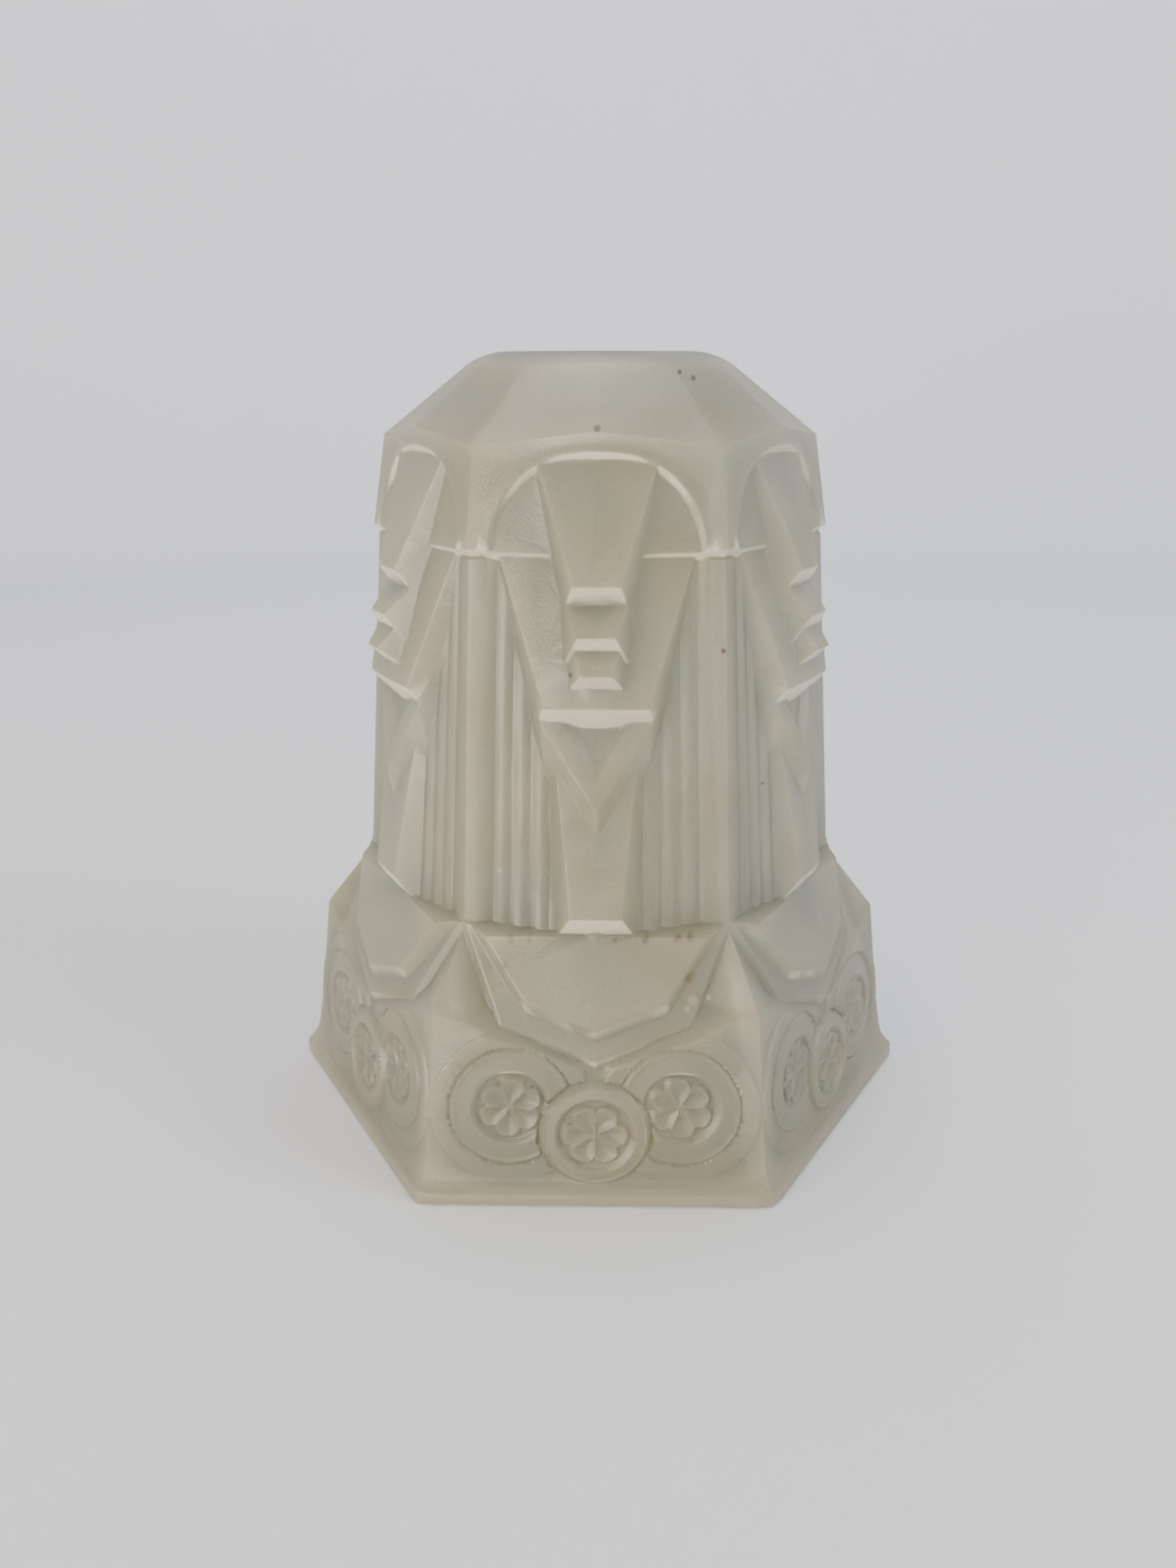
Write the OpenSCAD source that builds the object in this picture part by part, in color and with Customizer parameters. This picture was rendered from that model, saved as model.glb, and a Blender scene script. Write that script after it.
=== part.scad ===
// Six-sided pressed-glass lampshade, standing on its wide rim.
// Millimetres, +Z up, origin at the centre of the rim's underside.
// Each of the six panels faces outwards along -Y in its own turned frame.

/* [Overall] */
// Corner radius of the flared rim
rim_r = 68; // [66:0.5:70]
// Height of the flat crown
height = 153.7; // [150:0.5:158]
// Wall thickness of the skirt
skirt_wall = 4.8; // [4:0.2:6]

/* [Fitter] */
// Radius of the hole for the lampholder
hole_r = 15; // [12:0.5:17]
// Thickness of the glass around the hole
crown_wall = 4.5; // [3.5:0.5:6]

/* [Trunk] */
// Corner radius at the foot of the trunk
foot_r = 49.4; // [48:0.2:50]
// Corner radius under the shoulder
neck_r = 42.7; // [41:0.2:44]
// How far each reed stands out
reed_h = 1.1; // [0.4:0.1:1.6]

/* [Panels] */
// How far out the ledge of each V motif reaches, from the axis
ledge_n = 47.6; // [46.6:0.2:49]
// How far the hood over each arch stands out
hood_h = 1.3; // [0.6:0.1:2]
// Radius of the middle medallion
medallion_r = 10.5; // [9:0.5:11]
// How far the medallions stand out
medallion_h = 0.9; // [0.5:0.1:1.4]

/* [Hidden] */

flat = cos(30);
deep = 5;

// Rings of the outside, from the rim to the crown: [mid radius, mid z, corner radius, corner z]
rim_lip = 2.6;
flare_waist = [56.9, 4, 65.7, 4];
reed_top_z = 122;
skirt_foot = [55.5, 6.2, 64.1, 6.2];
skirt_top = [52.4, 36.6, 60.1, 37.5];
trunk_foot = [47.4, 50.4, foot_r, 46.5];
trunk_neck = [38.6, 140.6, neck_r, 138.2];
shoulder_top = [26.2, 151.3, 26.2, 151.3];
crown_edge = [20, height, 20, height];

// Rings of the hollow, which a smooth plunger leaves
hollow_mouth = [(rim_r - skirt_wall - 1) * flat, rim_r - skirt_wall - 1];
hollow_skirt = [skirt_top[0] - skirt_wall, skirt_top[2] - skirt_wall];
hollow_foot = [41.6, 43.8];
hollow_neck = [33.6, 37.2];
hollow_top = [21.5, 21.5];

// Hood: lower edge, where its drape turns, and the arch opening's half width, foot and springing
hood_z = [120.6, 136, 134.5];
hood_corner_r = [44.1, 42.9];
arch_half = 17.5;
arch_z = [112, 124];
arch_squash = 0.66;

// V of two bars: top, ledge and root heights, and half widths at the top and the ledge
bar_z = [119.8, 94.2, 91];
bar_notch_z = 98.5;
bar_top_u = [8.8, 16.2, 17.4];
bar_ledge_u = [8.8, 12];

// Stair: each tier's top, tip and root as [z, n, half width]
stair_tiers = [
    [[131, 40, 9.4], [115.2, 46, 4.1], [110, 42, 6.2]],
    [[111.8, 43.6, 5.5], [106.9, 48.1, 3.3], [100, 44, 4.4]],
    [[104, 46.4, 4.1], [100.5, 49.5, 2.7], [96.8, 45.4, 3.6]]];
field_tier = [[88, 43.4, 8.4], [55, 49.4, 4.8], [49.6, 45, 7.8]];

// Triangle under the ledge and the one sunk in it: [half width, n, z] of the top edge, [n, z] of the tip
triangle_face = [[10.2, 45, 91.6], [47.9, 75.1]];
triangle_back = [[13.2, 38, 90], [42.6, 65]];
sunk_face = [[8.2, 49, 94.6], [51, 77.4]];
sunk_back = [[4.3, 43.8, 92.4], [45.7, 82.6]];

// Bibs: leg and foot as [half width, z, n], and the V's tip as [z, n]
upper_bib = [[20.2, 49.4, 45.4], [13.4, 38, 53.4], [33, 54.4]];
lower_bib = [[23.4, 46.6, 44.2], [17.7, 35.2, 53.2], [28.2, 54.2]];
bib_back_n = 43.5;

// Medallions: [across, up, disc radius, dish radius]
side_medallion = [15.6, 18.6, 10.5, 7];
middle_medallion = [0, 13.6, medallion_r, 7];
middle_rise = 0.4;
petal_h = 0.5;

// Reeds: where each one ends across half a panel, as a share of the way to the corner
reed_ends = [0.36, 0.51, 0.66, 0.83, 1];
reed_half = concat([[0, 0]],
    [for (i = [0:3]) each [[reed_ends[i], 0], [(reed_ends[i] + reed_ends[i + 1]) / 2, 1]]],
    [[1, 0.3]]);
reed_full = concat([for (i = [len(reed_half) - 2:-1:1]) [-reed_half[i][0], reed_half[i][1]]], reed_half);

// A point of a panel: across, outwards, up
function pt(u, n, z) = [u, -n, z];
function turned(p, a) = [p[0] * cos(a) - p[1] * sin(a), p[0] * sin(a) + p[1] * cos(a), p[2]];

// Middle line of the bare trunk at a height
function trunk_n(z) = trunk_foot[0]
    + (trunk_neck[0] - trunk_foot[0]) * (z - trunk_foot[1]) / (trunk_neck[1] - trunk_foot[1]);

// One twelve-sided ring, with reeds of height amp
function ring(r, amp = 0) = [for (k = [0:5]) for (f = reed_full)
    let (t = abs(f[0]), n = r[0] + (r[2] * flat - r[0]) * t + amp * f[1], z = r[1] + (r[3] - r[1]) * t)
    turned(pt(f[0] * r[2] / 2, n, z), 60 * k)];

// Twelve bare points, for the hollow
function ring12(rm, rc, z) = [for (k = [0:5]) each
    [turned(pt(0, rm, z), 60 * k), turned(pt(rc / 2, rc * flat, z), 60 * k)]];

module loft(rings) {
    m = len(rings[0]);
    last = len(rings) - 1;
    top = (last + 1) * m;
    sides = [for (j = [0:last - 1]) for (i = [0:m - 1])
        let (a = j * m + i, b = j * m + (i + 1) % m)
        each [[a, a + m, b + m], [a, b + m, b]]];
    caps = [for (i = [0:m - 1])
        each [[top, i, (i + 1) % m], [top + 1, last * m + (i + 1) % m, last * m + i]]];
    polyhedron(
        points = concat([for (r = rings) each r], [[0, 0, rings[0][0][2]], [0, 0, rings[last][0][2]]]),
        faces = concat(sides, caps),
        convexity = 6);
}

// A raised block: its outer face as a loop, and the same loop sunk straight in to the depth n_back
module raised(face, n_back) {
    m = len(face);
    mid = [for (c = [0:2]) [for (p = face) p[c]] * [for (p = face) 1 / m]];
    back = [for (p = face) [p[0], -n_back, p[2]]];
    polyhedron(
        points = concat([mid], face, back, [[mid[0], -n_back, mid[2]]]),
        faces = concat(
            [for (i = [0:m - 1]) [0, 1 + i, 1 + (i + 1) % m]],
            [for (i = [0:m - 1]) each [
                [1 + i, 1 + m + i, 1 + (i + 1) % m],
                [1 + m + i, 1 + m + (i + 1) % m, 1 + (i + 1) % m]]],
            [for (i = [0:m - 1]) [1 + m + i, 1 + 2 * m, 1 + m + (i + 1) % m]]),
        convexity = 4);
}

// A block between two loops, for undercut and bevelled pieces. Each end is a fan from its first corner
module wedge(face, back) {
    m = len(face);
    polyhedron(
        points = concat(face, back),
        faces = concat(
            [for (i = [1:m - 2]) each [[0, i, i + 1], [m, m + i + 1, m + i]]],
            [for (i = [0:m - 1]) each [
                [i, m + i, (i + 1) % m],
                [m + i, m + (i + 1) % m, (i + 1) % m]]]),
        convexity = 4);
}

module each_panel() {
    for (k = [0:5]) rotate([0, 0, 60 * k]) children();
}

module outside() {
    flare = [rim_r * flat, rim_lip, rim_r, rim_lip];
    loft([
        ring([flare[0], 0, rim_r, 0]),
        ring(flare),
        ring(flare_waist),
        ring(skirt_foot),
        ring(skirt_top),
        ring(trunk_foot, reed_h),
        ring([trunk_n(reed_top_z), reed_top_z, 43.9, reed_top_z], reed_h),
        ring(trunk_neck),
        ring(shoulder_top),
        ring(crown_edge)]);
}

module hollow() {
    loft([
        ring12(hollow_mouth[0], hollow_mouth[1], -1),
        ring12(hollow_mouth[0] - 3, hollow_mouth[1] - 3, 7),
        ring12(hollow_skirt[0], hollow_skirt[1], 34),
        ring12(hollow_foot[0], hollow_foot[1], 43),
        ring12(hollow_neck[0], hollow_neck[1], 134),
        ring12(hollow_top[0], hollow_top[1], height - crown_wall)]);
}

// Arch over each panel: a straight-sided opening with a round head
module arch() {
    rotate([90, 0, 0]) linear_extrude(height = 60) {
        translate([-arch_half, arch_z[0]]) square([2 * arch_half, arch_z[1] - arch_z[0]]);
        intersection() {
            translate([0, arch_z[1]]) scale([1, arch_squash, 1]) circle(r = arch_half, $fn = 64);
            translate([-arch_half, arch_z[1] - 2]) square([2 * arch_half, 20]);
        }
    }
}

// Draped hood that runs round the trunk over the arches
module hood() {
    low = hood_z[0];
    difference() {
        loft([
            ring([trunk_n(low) + hood_h, low, hood_corner_r[0] + hood_h, low]),
            ring([trunk_n(hood_z[1]) + hood_h / 2, hood_z[1], hood_corner_r[1] + hood_h / 2, hood_z[2]]),
            ring([trunk_neck[0], trunk_neck[1] - 0.1, neck_r - 0.1, trunk_neck[3] - 0.1])]);
        each_panel() arch();
    }
}

// Shield of two bars that part upwards, proud at the foot. Its loops start in the notch
module shield() {
    top_z = bar_z[0];
    tip_z = bar_z[1];
    root_z = bar_z[2];
    top_n = trunk_n(top_z);
    back_n = ledge_n - 10;
    wedge(
        [pt(0, ledge_n - 1.2, bar_notch_z),
         pt(bar_top_u[0], top_n - 0.6, top_z), pt(bar_top_u[1], top_n - 1.3, top_z),
         pt(bar_ledge_u[0], ledge_n - 0.7, tip_z),
         pt(0, ledge_n, tip_z),
         pt(-bar_ledge_u[0], ledge_n - 0.7, tip_z),
         pt(-bar_top_u[1], top_n - 1.3, top_z), pt(-bar_top_u[0], top_n - 0.6, top_z)],
        [pt(0, back_n, bar_notch_z + 0.5),
         pt(bar_top_u[0] - 0.8, top_n - deep, top_z), pt(bar_top_u[2], top_n - deep, top_z),
         pt(bar_ledge_u[1], back_n, root_z - 2),
         pt(0, back_n, root_z - 2),
         pt(-bar_ledge_u[1], back_n, root_z - 2),
         pt(-bar_top_u[2], top_n - deep, top_z), pt(-bar_top_u[0] + 0.8, top_n - deep, top_z)]);
}

// One tier: a face that leans out from its top to its tip, and falls back to its root
module tier(top, tip, root) {
    wedge(
        [pt(-top[2], top[1], top[0]), pt(top[2], top[1], top[0]),
         pt(tip[2], tip[1], tip[0]), pt(-tip[2], tip[1], tip[0])],
        [pt(-top[2] - 0.6, top[1] - deep, top[0]), pt(top[2] + 0.6, top[1] - deep, top[0]),
         pt(root[2], root[1], root[0]), pt(-root[2], root[1], root[0])]);
}

// A three-cornered block, point down: each face is [[half width, n, z] of its top edge, [n, z] of its tip]
module pointed(face, back) {
    wedge(
        [pt(-face[0][0], face[0][1], face[0][2]), pt(face[0][0], face[0][1], face[0][2]),
         pt(0, face[1][0], face[1][1])],
        [pt(-back[0][0], back[0][1], back[0][2]), pt(back[0][0], back[0][1], back[0][2]),
         pt(0, back[1][0], back[1][1])]);
}

module motif() {
    shield();
    for (t = stair_tiers) tier(t[0], t[1], t[2]);
    difference() {
        pointed(triangle_face, triangle_back);
        pointed(sunk_face, sunk_back);
    }
    tier(field_tier[0], field_tier[1], field_tier[2]);
}

// Bib over the skirt: a five-cornered slope whose lower edge is a V
module bib(b) {
    leg = b[0];
    foot = b[1];
    raised([
        pt(-leg[0], leg[2], leg[1]), pt(leg[0], leg[2], leg[1]),
        pt(foot[0], foot[2], foot[1]), pt(0, b[2][1], b[2][0]), pt(-foot[0], foot[2], foot[1])],
        bib_back_n);
}

// Six-petalled flower in a dish, on a proud disc
module medallion(disc_r, dish_r) {
    difference() {
        translate([0, 0, -2]) cylinder(h = 2 + medallion_h, r = disc_r, $fn = 64);
        cylinder(h = 3, r = dish_r, $fn = 48);
    }
    translate([0, 0, -2]) linear_extrude(height = 2 + petal_h)
        for (a = [0:60:300]) rotate(a) translate([dish_r * 0.55, 0]) circle(r = dish_r * 0.27, $fn = 24);
}

// Places a disc on the skirt's face: across, up
module on_skirt(u, z) {
    lean = atan((skirt_foot[0] - skirt_top[0]) / (skirt_top[1] - skirt_foot[1]));
    n = skirt_foot[0] - (z - skirt_foot[1]) * tan(lean);
    translate(pt(u, n, z)) rotate([90 + lean, 0, 0]) children();
}

module medallions() {
    s = side_medallion;
    m = middle_medallion;
    for (side = [-1, 1]) on_skirt(side * s[0], s[1]) medallion(s[2], s[3]);
    on_skirt(m[0], m[1]) translate([0, 0, middle_rise]) medallion(m[2], m[3]);
}

module glass_shade() {
    color([0.80, 0.80, 0.74, 0.75])
    difference() {
        union() {
            outside();
            hood();
            each_panel() {
                motif();
                bib(upper_bib);
                bib(lower_bib);
                medallions();
            }
        }
        hollow();
        translate([0, 0, height - 20]) cylinder(h = 40, r = hole_r, $fn = 96);
    }
}

glass_shade();
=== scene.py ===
import math
import bmesh
import bpy
import numpy as np
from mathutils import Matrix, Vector


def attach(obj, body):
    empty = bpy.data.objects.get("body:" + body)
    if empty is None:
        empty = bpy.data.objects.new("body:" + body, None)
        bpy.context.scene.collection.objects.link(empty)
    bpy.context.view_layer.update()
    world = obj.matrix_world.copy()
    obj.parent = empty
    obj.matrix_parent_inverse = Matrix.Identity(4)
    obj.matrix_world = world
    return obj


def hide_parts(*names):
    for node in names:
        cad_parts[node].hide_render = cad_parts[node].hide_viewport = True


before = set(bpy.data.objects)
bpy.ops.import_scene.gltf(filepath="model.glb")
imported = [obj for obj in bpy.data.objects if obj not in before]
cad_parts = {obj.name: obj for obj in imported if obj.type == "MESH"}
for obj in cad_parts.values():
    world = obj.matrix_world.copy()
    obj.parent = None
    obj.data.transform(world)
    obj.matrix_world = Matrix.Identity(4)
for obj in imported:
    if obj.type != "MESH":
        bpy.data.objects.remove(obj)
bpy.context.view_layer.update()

mm = 0.001

# the shade's driving sizes in millimetres; n is out from the axis across a panel, z is up
shade = {
    "panels": 6,
    "columns": 74,              # grid lines across half a panel
    "rowStep": 0.34,            # height of a grid row on the relief
    "keepFaces": 0.180,         # share of the fine mesh that is kept
    "edgeSoft": 0.20,           # how far a pressed edge is rounded
    "meetSoft": 0.15,           # and the line where two raised forms meet
    "trunkMid": (47.4, 50.4, 0.0976),      # n at height z, and how much it narrows per mm
    "trunkCorner": (49.4, 46.5, 0.0731),
    "neckMidZ": 140.6,
    "neckCornerZ": 138.2,
    "rimCornerR": 67.6,
}


def linearColour(hexText):
    # sRGB hex to Blender's linear values
    channels = [int(hexText[i:i + 2], 16) / 255 for i in (1, 3, 5)]
    return [c / 12.92 if c < 0.04045 else ((c + 0.055) / 1.055) ** 2.4 for c in channels] + [1.0]


def softMin(a, b, k):
    h = np.maximum(k - np.abs(a - b), 0) / k
    return np.minimum(a, b) - h * h * k / 4


def softMax(a, b, k):
    return -softMin(-a, -b, k)


def ramp(x, low, high):
    # smooth 0 to 1 between low and high
    t = np.clip((x - low) / (high - low), 0, 1)
    return t * t * (3 - 2 * t)


class PanelPoints:
    # a half panel's sample points: azimuth from the panel's middle (radians) and height (mm)
    def __init__(self, phi, z):
        self.phi, self.z = phi, z
        self.sin, self.cos = np.sin(phi), np.cos(phi)

    def facet(self, n, zAt, rise, uAt=0.0, slope=0.0):
        # radius at which the plane n + rise*(z - zAt) + slope*(u - uAt) is met, far off where it is edge on
        out = n + rise * (self.z - zAt) - slope * uAt
        facing = self.cos - slope * self.sin
        edgeOn, farOff = 0.05, 400.0
        return np.where(facing > edgeOn, out / np.maximum(facing, edgeOn), farOff)

    def block(self, *planes):
        # the raised form that lies inside all these planes
        solid = self.facet(*planes[0])
        for plane in planes[1:]:
            solid = softMin(solid, self.facet(*plane), shade["edgeSoft"])
        return solid


def foldedPanel(phi, mid, corner):
    # a flat half panel's radius, from its middle line's n and its corner's radius
    slope = (corner * math.cos(math.pi / 6) - mid) / (corner / 2)
    return mid / (np.cos(phi) - slope * np.sin(phi))


def trunkMidN(z):
    n, zAt, taper = shade["trunkMid"]
    return n - taper * (z - zAt)


def trunkCornerR(z):
    r, zAt, taper = shade["trunkCorner"]
    return r - taper * (z - zAt)


# reeds: where the grooves lie, as a share of the way from a panel's middle to its corner
reeds = {
    "grooves": (0.20, 0.356, 0.506, 0.655, 0.80),
    "depth": 0.50,
    "crest": 0.20,
    "middleDip": 0.25,          # the plain strip behind the motif sinks towards the first groove
    "columnCrest": 0.75,        # the corner column is one broad rounded reed
    "back": (40.6, 119.4, -2.2, 0, -0.12),     # above the bars the trunk falls back behind the arch
}


def trunk(p):
    corner = trunkCornerR(p.z)
    bare = foldedPanel(p.phi, trunkMidN(p.z), corner)
    share = bare * p.sin / (corner / 2)
    grooves = reeds["grooves"]
    low = reeds["crest"] - reeds["depth"]
    rise = -reeds["middleDip"] * ramp(share, 0.0, grooves[0])
    for a, b in zip(grooves[:-1], grooves[1:]):
        x = np.clip((share - a) / (b - a), 0, 1)
        ridge = 1 - np.abs(2 * x - 1) ** 1.5
        rise = np.where((share >= a) & (share < b), low + reeds["depth"] * ridge, rise)
    x = np.clip((share - grooves[-1]) / (1 - grooves[-1]), 0, 1)
    column = np.sin(x * math.pi / 2) ** 0.8
    rise = np.where(share >= grooves[-1], low + (reeds["columnCrest"] - low) * column, rise)
    return softMin(bare + rise, p.facet(*reeds["back"]), 0.3)


# raised planes of a panel's motif: n at height z, rise per mm up, slope per mm across
motif = {
    "arch": {"halfWidth": 18.4, "footZ": 118.0, "height": 17.7, "power": 2.6},
    "archFace": (38.1, 135.7, -0.19, 0, -0.08),
    "archLip": (41.15, 119.9, 0.85, 0, -0.10),
    "barFace": (40.6, 119.2, -0.27, 0, -0.08),
    "barSide": (38.9, 119.1, 0.25, 17.2, -1.78),
    "ledge": (47.4, 94.1, 0.80, 0, -0.06),
    "tiers": (
        # face, side, undercut
        ((38.2, 135.5, -0.385), (39.4, 132.5, 0.1335, 9.5, -1.65), (46.0, 115.2, 0.706)),
        ((43.6, 111.8, -0.957), (43.6, 111.8, -0.185, 5.5, -1.65), (48.1, 106.9, 0.600)),
        ((46.6, 104.0, -0.853), (46.2, 104.0, -0.170, 4.1, -1.65), (49.5, 100.5, 1.100)),
    ),
    "triangleFace": (44.9, 91.0, -0.19, 0, -0.03),
    "triangleTop": (44.9, 91.0, -1.3),
    "triangleSide": (47.9, 75.1, 0.25, 0, -0.70),
    "recess": {"halfWidth": 6.2, "topZ": 91.0, "tipZ": 80.6, "stopZ": 92.5, "wall": 0.60, "depth": 1.2},
    "fieldFace": (43.9, 86.0, -0.1765),
    "fieldSide": (49.4, 55.0, -0.057, 4.75, -1.30),
    "fieldFoot": (49.4, 55.0, 0.62),
}


def archDistance(p, radius):
    # rough distance outside the arch's outline, in mm
    a = motif["arch"]
    u = np.maximum(radius * p.sin, 0.01)
    up = np.maximum(p.z - a["footZ"], 0)
    across = (u / a["halfWidth"]) ** a["power"]
    outline = across + (up / a["height"]) ** 2 - 1
    steep = np.hypot(a["power"] * across / u, 2 * up / a["height"] ** 2)
    return outline / np.maximum(steep, 0.02)


# the hood draped over the arches
drape = {
    "mid": (38.9, 0.105),               # n of its middle line at the neck, and how it widens per mm down
    "corner": (42.9, 0.166),            # and the radius of its corners
    "groove": (0.22, 3.0, 0.9),         # depth, how far above the arch, and width
    "grooveFrom": (128, 133),
    "lip": (0.10, 1.0, 0.8),            # height, how far above the arch, and width
    "sink": (0.4, 1.5),                 # its edge starts this deep in the arch and climbs at this slope
    "foot": (42.0, 120.2, 2.2, 0, -0.12),
    "soft": 0.5,
}


def hood(p):
    mid = drape["mid"][0] + drape["mid"][1] * (shade["neckMidZ"] - p.z)
    corner = drape["corner"][0] + drape["corner"][1] * (shade["neckCornerZ"] - p.z)
    draped = foldedPanel(p.phi, mid, corner)
    away = archDistance(p, draped)
    # a soft groove follows the arch just above its lip
    depth, at, width = drape["groove"]
    draped = draped - depth * np.exp(-((away - at) / width) ** 2) * ramp(p.z, *drape["grooveFrom"])
    height, at, width = drape["lip"]
    draped = draped + height * np.exp(-((away - at) / width) ** 2)
    deep, climb = drape["sink"]
    edge = p.facet(*motif["archFace"]) - deep + climb * away
    return softMin(softMin(draped, edge, drape["soft"]), p.facet(*drape["foot"]), drape["soft"])


def triangleRecess(p, radius):
    r = motif["recess"]
    inside = r["halfWidth"] * (p.z - r["tipZ"]) / (r["topZ"] - r["tipZ"]) - radius * p.sin
    inside = np.where(p.z > r["stopZ"], -1, inside)
    return np.clip(inside * r["wall"], 0, r["depth"])


def motifSolid(p):
    m = motif
    triangle = p.block(m["triangleFace"], m["triangleSide"], m["barSide"], m["triangleTop"])
    forms = [
        p.block(m["barFace"], m["barSide"], m["ledge"]),
        triangle - triangleRecess(p, triangle),
        p.block(m["fieldFace"], m["fieldSide"], m["fieldFoot"]),
    ]
    forms += [p.block(*tier) for tier in m["tiers"]]
    solid = p.block(m["archFace"], m["archLip"])
    for form in forms:
        solid = softMax(solid, form, shade["meetSoft"])
    return solid


# the skirt: its flat face, its slope, and two bibs whose lower edges are Vs
skirt = {
    "face": (52.4, 36.6, -0.102),
    "slope": (77.8, 0.0, -0.924, 0, 0.296),
    "slopeTop": (64.5, 0.0, -0.569, 0, 0.296),
    "bibs": (
        # face, lower edge, leg, top
        ((47.2, 50.4, -0.43), (54.0, 34.8, 0.355, 0, -0.287), (51.7, 39.0, 0.309, 13.2, -1.10),
         (47.2, 50.6, -3.0)),
        ((54.3, 28.6, -0.45), (54.3, 28.6, 0.450, 0, -0.3025), (51.6, 34.5, -0.054, 17.7, -1.00),
         (47.2, 50.6, -3.0)),
    ),
    "rim": ((0.0, 58.2), (0.35, 58.75), (0.9, 58.89), (2.0, 58.89), (2.6, 58.5), (3.2, 57.7),
            (4.2, 56.85), (5.6, 56.15), (7.5, 55.6), (10.0, 55.15), (14.0, 54.3), (60.0, 0.0)),
    "slopeSoft": 0.3,
    "faceSoft": 0.5,
    "rimSoft": 1.6,
    "flareSoft": 1.2,
}

medallions = {
    "faceN": 54.2,              # how far out from the axis their middles stand
    # across, up, radius and how proud, then the radius of the flower's dish and the flower's turn
    "backDiscs": ((15.8, 19.0, 15.4, 0.60),),
    "discs": ((15.8, 19.0, 11.8, 0.95, 7.3, 35), (0.0, 13.8, 10.7, 1.55, 7.4, 0)),
    "bevel": 1.1,
    "trough": 0.25,             # a shallow trough between the dish and the edge
    "dishDepth": 0.85,
    "dishWall": 1.0,
    "petals": 6,
    "petalReach": 6.3,
    "petalNotch": 0.24,         # how far the outline falls back between two petals, as a share
    "petalWall": 1.7,
    "petalRise": 0.80,
    "petalScoop": 0.75,         # each petal is hollowed like a spoon
    "eyeDip": 0.25,
}


def flowerHeight(across, up, turn):
    m = medallions
    reach = np.hypot(across, up)
    angle = np.degrees(np.arctan2(up, across)) - turn
    step = 360 / m["petals"]
    off = np.abs((angle + step / 2) % step - step / 2) / (step / 2)
    outline = m["petalReach"] * (1 - m["petalNotch"] * off ** 3)
    pad = np.clip((outline - reach) * m["petalWall"], 0, 1)
    along = np.clip(reach / m["petalReach"], 0, 1)
    scoop = np.cos(off * math.pi / 2) ** 0.9 * np.sin(np.clip(along * 1.12, 0, 1) * math.pi) ** 0.75
    return pad * (m["petalRise"] - m["petalScoop"] * scoop - m["eyeDip"] * (1 - along) ** 2)


def medallionRise(p):
    m = medallions
    nowhere = -9.0              # stands for no surface
    u = m["faceN"] * np.tan(p.phi)
    rise = np.zeros_like(u)
    for at, up, radius, proud in m["backDiscs"]:
        reach = np.hypot(u - at, p.z - up)
        rise = np.maximum(rise, np.clip((radius - reach) * m["bevel"], 0, proud))
    for at, up, radius, proud, dish, turn in m["discs"]:
        reach = np.hypot(u - at, p.z - up)
        disc = np.clip((radius - reach) * m["bevel"], nowhere, proud)
        sunk = ramp(reach, dish, radius - 1.3) * ramp(radius - 0.9 - reach, 0, 0.5)
        disc = disc - m["trough"] * sunk * (disc >= proud)
        dished = np.clip((dish - reach) * m["dishWall"], 0, m["dishDepth"])
        flower = flowerHeight(u - at, p.z - up, turn) * (reach < dish)
        below = np.where(disc > 0, nowhere, rise)
        rise = np.where(reach < radius, np.maximum(disc - dished + flower, below), rise)
    return rise


def skirtSolid(p):
    s = skirt
    slope = softMax(p.facet(*s["slope"]), p.facet(*s["slopeTop"]), s["slopeSoft"])
    face = softMin(p.facet(*s["face"]) + medallionRise(p), slope, s["faceSoft"])
    rimZ, rimN = zip(*s["rim"])
    flare = np.interp(p.z, rimZ, rimN) / p.cos
    flare = softMin(flare, np.full_like(flare, shade["rimCornerR"]), s["rimSoft"])
    solid = softMax(face, flare, s["flareSoft"])
    for bib in s["bibs"]:
        solid = softMax(solid, p.block(*bib), shade["meetSoft"])
    return solid


def reliefRadius(p):
    above = softMax(trunk(p), motifSolid(p), 0.15)
    above = softMax(above, hood(p), 0.2)
    return softMax(above, skirtSolid(p), 0.25)


def reliefRows(phi):
    # trunk and skirt; towards the neck the rows tilt down to its corners
    neckZ = shade["neckMidZ"]
    corner = np.sin(phi) / 0.5
    tilt = 1 - shade["neckCornerZ"] / neckZ
    rimTop, tiltFrom = 7, 100
    heights = np.concatenate([np.linspace(0, rimTop, 33, endpoint=False),
                              np.arange(rimTop, neckZ, shade["rowStep"]), [neckZ]])
    rows = []
    for height in heights:
        z = height * (1 - corner * tilt * ramp(height, tiltFrom, neckZ))
        rows.append((reliefRadius(PanelPoints(phi, z)), z))
    return rows


# the shoulder's top, the flat round the hole, and the hole, as radius and height
crown = {
    "shoulderTop": (26.0, 151.25),
    "flatR": 18.2,
    "z": 153.7,
    "lip": ((17, 0), (16, 0), (15.6, 0), (15.25, 0.1), (15.05, 0.35)),     # radius, and drop below the flat
    "holeR": 15.0,
    "holeDrops": (1.2, 2.4, 3.6, 4.5),
}


def shoulderRows(phi, neckR, neckZ):
    # twelve facets that fade into the round crown
    topR, topZ = crown["shoulderTop"]
    rows = []
    for s in np.linspace(0, 1, 42)[1:]:
        eased = neckR * (1 - s) + topR * s
        flat = foldedPanel(phi, eased[0], eased[-1])
        rows.append((flat * (1 - s ** 3) + eased * s ** 3, neckZ * (1 - s) + topZ * s))
    return rows


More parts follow.
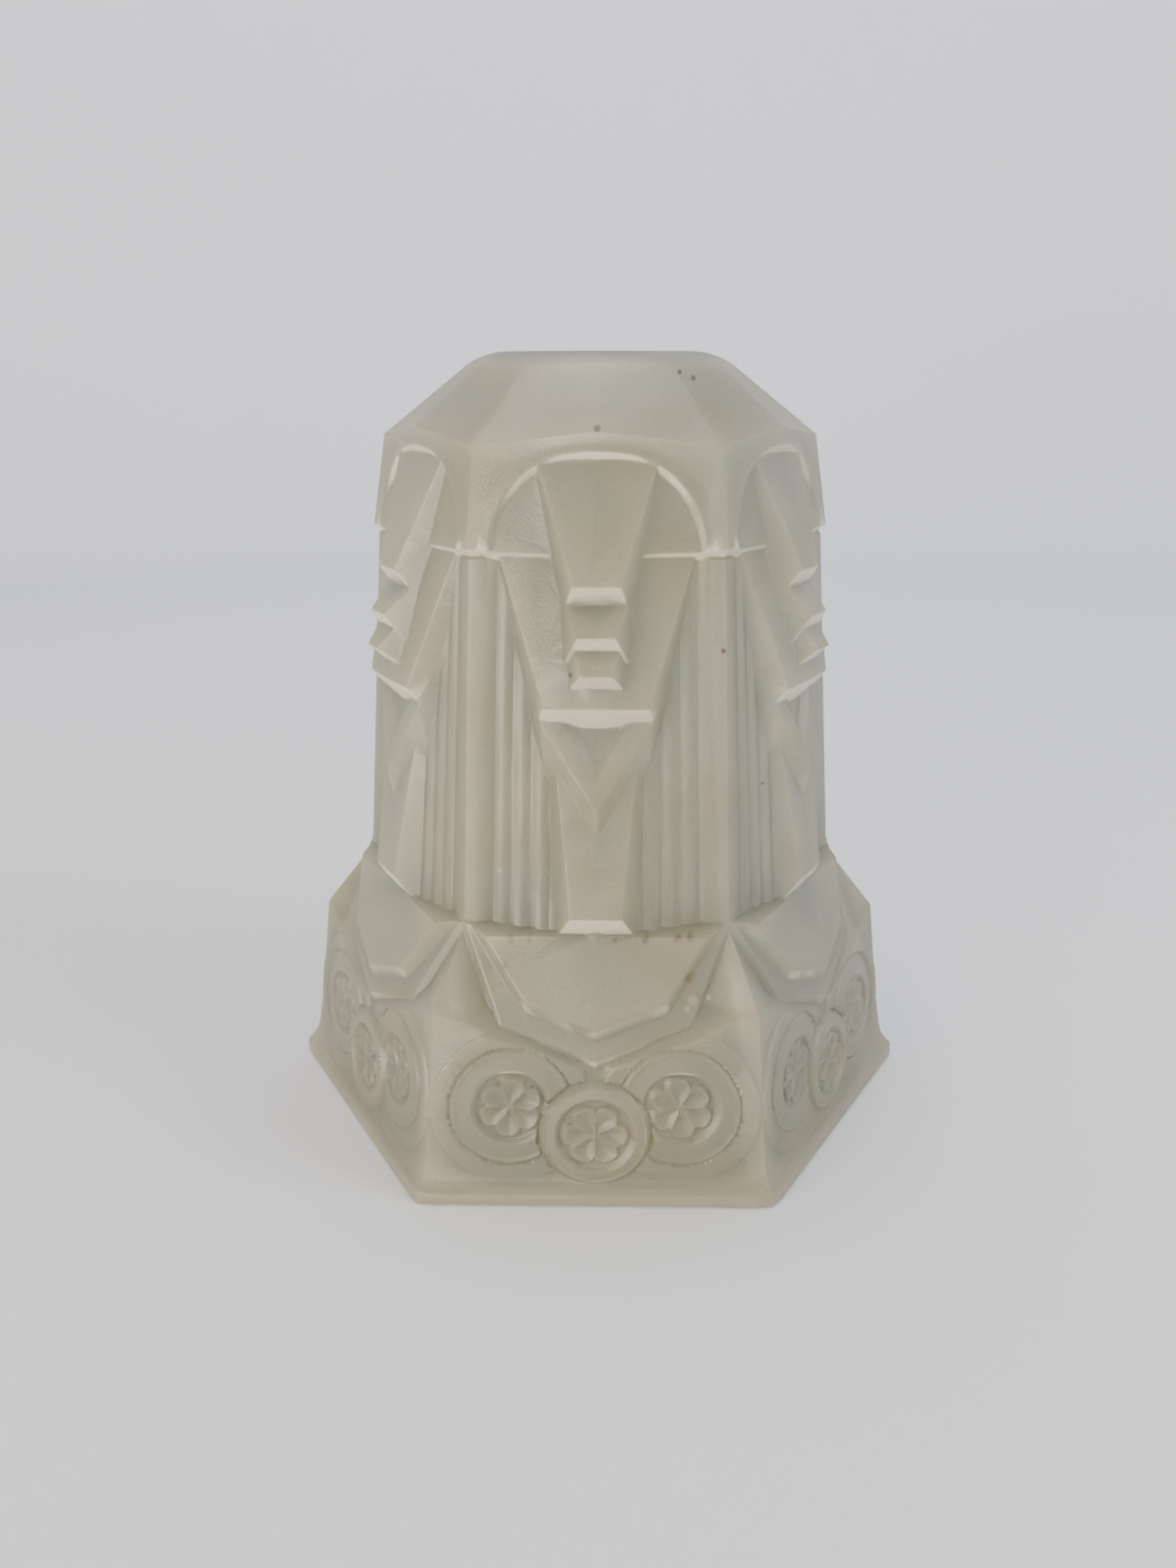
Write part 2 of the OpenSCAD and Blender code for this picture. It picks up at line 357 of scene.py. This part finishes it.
def crownRows(phi):
    # a short slope, rounded into the flat, and the wall of the hole
    topR, topZ = crown["shoulderTop"]
    flatR, flatZ = crown["flatR"], crown["z"]
    profile = []
    for s in np.linspace(0, 1, 14)[1:]:
        rounded = math.sin(s * math.pi / 2) ** 0.9
        profile.append((topR + (flatR - topR) * s, topZ + (flatZ - topZ) * rounded))
    profile += [(r, flatZ - drop) for r, drop in crown["lip"]]
    profile += [(crown["holeR"], flatZ - drop) for drop in crown["holeDrops"]]
    return [(np.full_like(phi, r), np.full_like(phi, z)) for r, z in profile]


# the hollow that the plunger leaves: radius, height, and how six-sided it is there
hollow = {
    "profile": (
        (17.5, 149.2, 0.0), (20.0, 148.6, 0.1), (22.5, 147.2, 0.2), (26.0, 144.2, 0.4), (30.5, 139.4, 0.7),
        (33.2, 135.0, 0.9), (34.4, 130.0, 0.95), (36.6, 105.0, 1.0), (39.0, 78.0, 1.0), (41.0, 54.0, 1.0),
        (41.9, 47.0, 1.0), (44.2, 42.5, 1.0), (46.6, 38.5, 1.0), (47.7, 34.0, 1.0), (49.6, 18.0, 1.0),
        (50.7, 8.0, 1.0), (51.3, 3.5, 1.0), (52.1, 1.2, 1.0), (53.2, 0.25, 1.0), (54.2, 0.0, 1.0),
    ),
    "rows": 96,
    "cornerRatio": 1.145,
    "cornerSoft": 3.0,
}


def hollowRows(phi):
    profile = np.array(hollow["profile"])
    steps = np.linspace(0, len(profile) - 1, hollow["rows"])
    rows = []
    for r, z, flat in zip(*[np.interp(steps, np.arange(len(profile)), column) for column in profile.T]):
        corner = np.full_like(phi, r * hollow["cornerRatio"])
        sixSided = softMin(r / np.cos(phi), corner, hollow["cornerSoft"])
        rows.append((r * (1 - flat) + sixSided * flat, np.full_like(phi, z)))
    return rows


def wholeRows():
    # rows of one half panel: up the outside, over the crown, down the hollow and back under the rim
    phi = np.linspace(0, math.pi / 6, shade["columns"] + 1)
    rows = reliefRows(phi)
    rows += shoulderRows(phi, *rows[-1])
    rows += crownRows(phi)
    rows += hollowRows(phi)
    innerR, outerR = rows[-1][0], rows[0][0]
    rows += [(innerR * (1 - s) + outerR * s, np.zeros_like(phi)) for s in (0.33, 0.66)]
    return phi, rows


def spread(grid, reach):
    # the mean round each grid point, mirrored at the panel's middle and corner
    wide = np.pad(grid, ((reach, reach), (reach, reach)), mode="symmetric")
    rows = sum(wide[k:k + grid.shape[0]] for k in range(2 * reach + 1)) / (2 * reach + 1)
    return sum(rows[:, k:k + grid.shape[1]] for k in range(2 * reach + 1)) / (2 * reach + 1)


def outsideLooks(phi, rows):
    # how proud each outside point stands of its surroundings, closely and broadly
    r = np.array([row[0] for row in rows])
    z = np.array([row[1] for row in rows])
    outer = int(np.argmax(z[:, 0])) + 1
    r, z = r[:outer], z[:outer]
    # undersides: where the outside comes out again with height
    lean = np.gradient(r, axis=0) / np.maximum(np.gradient(z, axis=0), 0.05)
    return {"phi": phi, "r": r, "z": z, "near": r - spread(r, 3), "broad": r - spread(r, 14),
            "under": ramp(spread(lean, 1), 0.10, 0.45) * (z > 26)}


def paintLooks(mesh, looks):
    count = len(mesh.vertices)
    co = np.empty(count * 3)
    mesh.vertices.foreach_get("co", co)
    x, y, z = co.reshape(-1, 3).T / mm
    sector = math.pi / 3
    phi = np.abs((np.arctan2(x, -y) + sector / 2) % sector - sector / 2)
    columns = len(looks["phi"])
    column = np.clip(np.rint(phi / looks["phi"][1]), 0, columns - 1).astype(int)
    values = {name: np.zeros(count) for name in ("near", "broad", "under")}
    for c in range(columns):
        here = column == c
        surface = np.interp(z[here], looks["z"][:, c], looks["r"][:, c])
        outside = np.hypot(x, y)[here] > surface - 1.5      # not the hollow's wall behind it
        for name in values:
            found = np.interp(z[here], looks["z"][:, c], looks[name][:, c])
            values[name][here] = np.where(outside, found, 0)
    for name, value in values.items():
        layer = mesh.attributes.new(name, "FLOAT", "POINT")
        layer.data.foreach_set("value", value.astype(np.float32))


def halfPanelMesh(phi, rows):
    r = np.array([row[0] for row in rows])
    z = np.array([row[1] for row in rows])
    points = np.stack([r * np.sin(phi), -r * np.cos(phi), z], axis=-1).reshape(-1, 3) * mm
    count, wide = len(rows), len(phi)
    j, i = np.meshgrid(np.arange(count), np.arange(wide - 1), indexing="ij")
    a = (j * wide + i).ravel()
    b = (((j + 1) % count) * wide + i).ravel()
    quads = np.stack([a, a + 1, b + 1, b], axis=-1)
    mesh = bpy.data.meshes.new("halfPanel")
    mesh.from_pydata(points.tolist(), [], quads.tolist())
    return mesh


def addNode(tree, kind, settings=None, inputs=None, links=None):
    # one node: its properties, its socket values, and what feeds its sockets
    node = tree.nodes.new(kind)
    for name, value in (settings or {}).items():
        setattr(node, name, value)
    for name, value in (inputs or {}).items():
        node.inputs[name].default_value = value
    for name, source in (links or {}).items():
        tree.links.new(source, node.inputs[name])
    return node


def panelRingTree(material):
    # mirrors a half panel, sets the panel round the axis and welds the seams
    tree = bpy.data.node_groups.new("panelRing", "GeometryNodeTree")
    face = tree.interface
    face.new_socket("Geometry", in_out="INPUT", socket_type="NodeSocketGeometry")
    sockets = {}
    for name, kind, value in (("Panels", "NodeSocketInt", 6), ("Weld", "NodeSocketFloat", 0.00001)):
        sockets[name] = face.new_socket(name, in_out="INPUT", socket_type=kind)
        sockets[name].default_value = value
    face.new_socket("Geometry", in_out="OUTPUT", socket_type="NodeSocketGeometry")
    given = addNode(tree, "NodeGroupInput")
    mirrored = addNode(tree, "GeometryNodeTransform", inputs={"Scale": (-1, 1, 1)},
                       links={"Geometry": given.outputs["Geometry"]})
    flipped = addNode(tree, "GeometryNodeFlipFaces", links={"Mesh": mirrored.outputs["Geometry"]})
    joined = addNode(tree, "GeometryNodeJoinGeometry")
    tree.links.new(given.outputs["Geometry"], joined.inputs["Geometry"])
    tree.links.new(flipped.outputs["Mesh"], joined.inputs["Geometry"])
    centre = addNode(tree, "GeometryNodeMeshLine", inputs={"Offset": (0, 0, 0)},
                     links={"Count": given.outputs["Panels"]})
    index = addNode(tree, "GeometryNodeInputIndex")
    share = addNode(tree, "ShaderNodeMath", {"operation": "DIVIDE"})
    tree.links.new(index.outputs[0], share.inputs[0])
    tree.links.new(given.outputs["Panels"], share.inputs[1])
    turn = addNode(tree, "ShaderNodeMath", {"operation": "MULTIPLY"})
    tree.links.new(share.outputs[0], turn.inputs[0])
    turn.inputs[1].default_value = 2 * math.pi
    angles = addNode(tree, "ShaderNodeCombineXYZ", links={"Z": turn.outputs[0]})
    placed = addNode(tree, "GeometryNodeInstanceOnPoints",
                     links={"Points": centre.outputs["Mesh"], "Instance": joined.outputs["Geometry"],
                            "Rotation": angles.outputs["Vector"]})
    real = addNode(tree, "GeometryNodeRealizeInstances", links={"Geometry": placed.outputs["Instances"]})
    welded = addNode(tree, "GeometryNodeMergeByDistance",
                     links={"Geometry": real.outputs["Geometry"], "Distance": given.outputs["Weld"]})
    finish = addNode(tree, "GeometryNodeSetMaterial", inputs={"Material": material},
                     links={"Geometry": welded.outputs["Geometry"]})
    addNode(tree, "NodeGroupOutput", links={"Geometry": finish.outputs["Geometry"]})
    return tree, sockets


def plainMesh(obj):
    # the evaluated object as a plain mesh
    depsgraph = bpy.context.evaluated_depsgraph_get()
    return bpy.data.meshes.new_from_object(obj.evaluated_get(depsgraph), depsgraph=depsgraph)


def outwardNormals(mesh):
    work = bmesh.new()
    work.from_mesh(mesh)
    bmesh.ops.recalc_face_normals(work, faces=work.faces)
    if work.calc_volume(signed=True) < 0:
        bmesh.ops.reverse_faces(work, faces=work.faces)
    openEdges = sum(1 for e in work.edges if not e.is_manifold)
    work.to_mesh(mesh)
    work.free()
    return openEdges


def makeShade(material):
    phi, rows = wholeRows()
    half = bpy.data.objects.new("shadeGrid", halfPanelMesh(phi, rows))
    bpy.context.scene.collection.objects.link(half)
    tree, sockets = panelRingTree(material)
    ringing = half.modifiers.new("panelRing", "NODES")
    ringing.node_group = tree
    ringing[sockets["Panels"].identifier] = shade["panels"]
    whole = bpy.data.objects.new("glassShade", plainMesh(half))
    bpy.context.scene.collection.objects.link(whole)
    bpy.data.objects.remove(half)
    openEdges = outwardNormals(whole.data)
    print("fine mesh:", len(whole.data.polygons), "faces,", openEdges, "open edges")
    thin = whole.modifiers.new("thin", "DECIMATE")
    thin.ratio = shade["keepFaces"]
    mesh = plainMesh(whole)
    whole.modifiers.clear()
    whole.data = mesh
    mesh.name = "glassShade"
    openEdges = outwardNormals(mesh)
    paintLooks(mesh, outsideLooks(phi, rows))
    mesh.shade_smooth()
    mesh.set_sharp_from_angle(angle=math.radians(28))
    print("kept mesh:", len(mesh.polygons), "faces,", openEdges, "open edges")
    return whole


# satin glass: pressed soda glass dipped in acid, so light spreads in it and no reflection is sharp
satin = {
    "thin": "#9fa699",          # where the wall is thin and flat
    "thickGlassAndHighlight": "#dad3ba",         # proud edges and the rim's foot: the denser tone of thick glass, with painted highlight
    "warm": "#beb497",          # slow warm drift in the melt
    "under": "#f0e8d0",         # painted light on the undersides, standing in for light coming through the glass from within
    "skirt": "#5c675e",         # painted see-through of a dark surface below the thin skirt, darker towards the rim
    "dustAndShade": "#86795f",          # old dust, and painted shade in the sunken corners
    "roughness": 0.44,
    "transmission": 0.82,
    "underTransmission": 0.50,
    "ior": 1.5,
    "grain": (2400, 0.00008),   # etched grain 0.4 mm across, and its depth in metres
    "ripple": (55, 0.0012),     # hand-pressed ripple 18 mm across, and its depth
    "patches": 320,             # dust, and the painted shade in the corners, break up into patches 3 mm across
    # marks on the front: across, up and radius in mm
    "seeds": ((0, 141, 0.8), (22.5, 103, 0.6), (-4.5, 100, 0.5), (31.5, 75.5, 0.4), (14.5, 150, 0.6),
              (17, 149, 0.6)),
    "crumbs": ((-16, 50, 1.1), (-12, 50, 1.0), (-8.5, 50, 1.1), (3.5, 50, 0.6), (9.5, 50, 1.3),
               (15, 50.5, 1.3), (17.5, 50.5, 0.9), (17.5, 43, 1.4), (19.5, 40, 0.9), (-17, 45.5, 0.7)),
    "chips": ((18, 39, 1.1), (17, 37.5, 0.7), (21, 39, 0.6), (26, 39.5, 0.5), (-18, 62, 0.6)),
    "seed": "#5f5546",          # dark seeds and specks in the glass
    "crumb": "#94826a",         # brown dust caught in the reeds' lower ends
    "chip": "#d9cdb8",          # pale bruises where the glass was knocked
}


def frontPlace(tree, place):
    # the place seen square from the front, which leaves the back half far away
    axes = addNode(tree, "ShaderNodeSeparateXYZ", links={"Vector": place}).outputs
    behind = addNode(tree, "ShaderNodeMath", {"operation": "MAXIMUM"}, {1: 0.0}, {0: axes["Y"]})
    seen = addNode(tree, "ShaderNodeCombineXYZ",
                   links={"X": axes["X"], "Y": behind.outputs[0], "Z": axes["Z"]})
    return seen.outputs["Vector"]


def nearestMark(tree, front, marks):
    # distance to the nearest mark, where 1 is that mark's own radius
    nearest = None
    for across, up, radius in marks:
        away = addNode(tree, "ShaderNodeVectorMath", {"operation": "DISTANCE"},
                       {1: (across * mm, 0, up * mm)}, {0: front})
        radii = addNode(tree, "ShaderNodeMath", {"operation": "DIVIDE"}, {1: radius * mm},
                        {0: away.outputs["Value"]}).outputs[0]
        if nearest is not None:
            radii = addNode(tree, "ShaderNodeMath", {"operation": "MINIMUM"},
                            links={0: nearest, 1: radii}).outputs[0]
        nearest = radii
    return nearest


def layTone(tree, colour, tone, strength, *where):
    # lays a tone over the colour; each measure takes it from nothing to full between its two values
    factor = None
    for measure, nothing, full in where:
        amount = addNode(tree, "ShaderNodeMapRange", None, {"From Min": nothing, "From Max": full},
                         {"Value": measure}).outputs["Result"]
        if factor is not None:
            amount = addNode(tree, "ShaderNodeMath", {"operation": "MULTIPLY"},
                             links={0: factor, 1: amount}).outputs[0]
        factor = amount
    weight = addNode(tree, "ShaderNodeMath", {"operation": "MULTIPLY"}, {1: strength}, {0: factor})
    over = addNode(tree, "ShaderNodeMix", {"data_type": "RGBA"}, {7: linearColour(satin[tone])},
                   {0: weight.outputs[0], 6: colour})
    return over.outputs[2]


def satinGlass():
    material = bpy.data.materials.new("satinPressedGlass")
    material.use_nodes = True
    tree = material.node_tree
    shader = tree.nodes["Principled BSDF"]
    shader.inputs["Roughness"].default_value = satin["roughness"]
    shader.inputs["IOR"].default_value = satin["ior"]
    place = addNode(tree, "ShaderNodeTexCoord").outputs["Object"]
    height = addNode(tree, "ShaderNodeSeparateXYZ", links={"Vector": place}).outputs["Z"]
    noises = ((satin["grain"][0], 2), (satin["ripple"][0], 1), (satin["patches"], 3))
    grain, ripple, patchy = [addNode(tree, "ShaderNodeTexNoise", None, {"Scale": scale, "Detail": detail},
                                     {"Vector": place}).outputs["Fac"] for scale, detail in noises]
    near, broad, under = [addNode(tree, "ShaderNodeAttribute", {"attribute_name": name}).outputs["Fac"]
                          for name in ("near", "broad", "under")]
    front = frontPlace(tree, place)
    seeds, crumbs, chips = [nearestMark(tree, front, satin[name]) for name in ("seeds", "crumbs", "chips")]
    thin = addNode(tree, "ShaderNodeRGB")
    colour = thin.outputs[0]
    colour.default_value = linearColour(satin["thin"])
    for layer in (
            # painted see-through of a dark surface below, darker towards the rim
            ("skirt", 0.7, (height, 42 * mm, 12 * mm)),
            # the denser tone of thick glass, partly painted highlight, where the wall stands proud broadly
            ("thickGlassAndHighlight", 1.0, (broad, -1.2, 1.4)),
            ("warm", 0.6, (ripple, 0.45, 0.70)),
            # painted highlight along closely proud edges
            ("thickGlassAndHighlight", 0.7, (near, 0.12, 0.7)),
            # painted highlight along the rim's foot
            ("thickGlassAndHighlight", 0.8, (height, 5 * mm, 2 * mm)),
            # painted light on the undersides
            ("under", 0.7, (under, 0.1, 0.9)),
            # dust and painted shade keep to the sunken corners of the lower half, in patches
            ("dustAndShade", 0.6, (near, -0.20, -0.8), (height, 66 * mm, 52 * mm), (patchy, 0.35, 0.60)),
            ("dustAndShade", 0.25, (grain, 0.35, 0.75)),
            ("crumb", 1.0, (crumbs, 1.0, 0.5), (patchy, 0.40, 0.55)),
            ("seed", 1.0, (seeds, 1.0, 0.5)),
            ("chip", 1.0, (chips, 1.0, 0.5))):
        colour = layTone(tree, colour, *layer)
    tree.links.new(colour, shader.inputs["Base Color"])
    clear = addNode(tree, "ShaderNodeMapRange", None,
                    {"From Min": 0.1, "From Max": 0.9, "To Min": satin["transmission"],
                     "To Max": satin["underTransmission"]},
                    {"Value": under})
    tree.links.new(clear.outputs["Result"], shader.inputs["Transmission Weight"])
    waves = addNode(tree, "ShaderNodeBump", None, {"Strength": 1.0, "Distance": satin["ripple"][1]},
                    {"Height": ripple})
    etched = addNode(tree, "ShaderNodeBump", None, {"Strength": 1.0, "Distance": satin["grain"][1]},
                     {"Height": grain, "Normal": waves.outputs["Normal"]})
    tree.links.new(etched.outputs["Normal"], shader.inputs["Normal"])
    return material


# the room: a pale sweep all round, and soft lights
studio = {
    "floor": "#d3d6dc",
    "radius": 1.1,
    "wallTop": 1.3,
    "bend": 0.35,
    "bendSteps": 12,
    "around": 96,
    "sky": "#eef0f4",
    "skyStrength": 0.10,
    # place, aim, size, watts and colour
    "lamps": {
        "keyLow": ((-0.55, -0.74, 0.08), (0, 0, 0.10), (0.70, 0.16), 24, "#fff0da"),
        "windowRight": ((0.80, -0.30, 0.45), (0, 0, 0.08), (0.5, 0.7), 8, "#f2f6f4"),
        "softTop": ((-0.15, -0.05, 1.00), (0, 0, 0.1), (0.6, 0.6), 5.0, "#ffefd6"),
        "wallWash": ((0.0, 0.35, 1.15), (0, 0.75, 0.3), (0.9, 0.5), 9, "#eef2ff"),
    },
}


def makeStudio():
    bend, around = studio["bend"], studio["around"]
    flatR = studio["radius"] - bend
    profile = [(0, 0), (flatR, 0)]
    for k in range(1, studio["bendSteps"] + 1):
        a = k / studio["bendSteps"] * math.pi / 2
        profile.append((flatR + bend * math.sin(a), bend * (1 - math.cos(a))))
    profile.append((studio["radius"], studio["wallTop"]))
    points, faces = [(0, 0, 0)], []
    for r, z in profile[1:]:
        points += [(r * math.cos(2 * math.pi * k / around), r * math.sin(2 * math.pi * k / around), z)
                   for k in range(around)]
    for k in range(around):
        n = (k + 1) % around
        faces.append((0, 1 + k, 1 + n))
        for ring in range(len(profile) - 2):
            a, b = 1 + ring * around, 1 + (ring + 1) * around
            faces.append((a + k, b + k, b + n, a + n))
    mesh = bpy.data.meshes.new("paleSweep")
    mesh.from_pydata(points, [], faces)
    mesh.shade_smooth()
    sweep = bpy.data.objects.new("paleSweep", mesh)
    bpy.context.scene.collection.objects.link(sweep)
    material = bpy.data.materials.new("mattPaper")
    material.use_nodes = True
    shader = material.node_tree.nodes["Principled BSDF"]
    shader.inputs["Base Color"].default_value = linearColour(studio["floor"])
    shader.inputs["Roughness"].default_value = 0.9
    mesh.materials.append(material)
    world = bpy.data.worlds.new("studioSky")
    world.use_nodes = True
    sky = world.node_tree.nodes["Background"]
    sky.inputs["Color"].default_value = linearColour(studio["sky"])
    sky.inputs["Strength"].default_value = studio["skyStrength"]
    bpy.context.scene.world = world


def areaLight(name, at, aim, size, power, colour):
    data = bpy.data.lights.new(name, "AREA")
    data.shape = "RECTANGLE"
    data.size, data.size_y = size
    data.energy = power
    data.color = linearColour(colour)[:3]
    lamp = bpy.data.objects.new(name, data)
    lamp.location = at
    lamp.rotation_euler = (Vector(aim) - Vector(at)).to_track_quat("-Z", "Y").to_euler()
    bpy.context.scene.collection.objects.link(lamp)


# place in metres, turns in degrees, and the lens in millimetres on a frame 36 mm high
camera = {
    "at": (0.0027, -0.2642, 0.1518),
    "down": 18.21,
    "turn": 1.08,
    "roll": 0.05,
    "lens": 29.48,
    "frame": 36,
}


def makeCamera():
    data = bpy.data.cameras.new("camera")
    data.sensor_fit = "VERTICAL"
    data.sensor_height = camera["frame"]
    data.lens = camera["lens"]
    data.clip_start = 0.01
    lens = bpy.data.objects.new("camera", data)
    lens.location = camera["at"]
    lens.rotation_euler = (math.radians(90 - camera["down"]), math.radians(camera["roll"]),
                           math.radians(camera["turn"]))
    bpy.context.scene.collection.objects.link(lens)
    bpy.context.scene.camera = lens


makeCamera()
makeStudio()
for lampName, lamp in studio["lamps"].items():
    areaLight(lampName, *lamp)
print("studio ready")

glass = makeShade(satinGlass())
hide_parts("glass_shade")
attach(glass, "root")
print("shade ready")
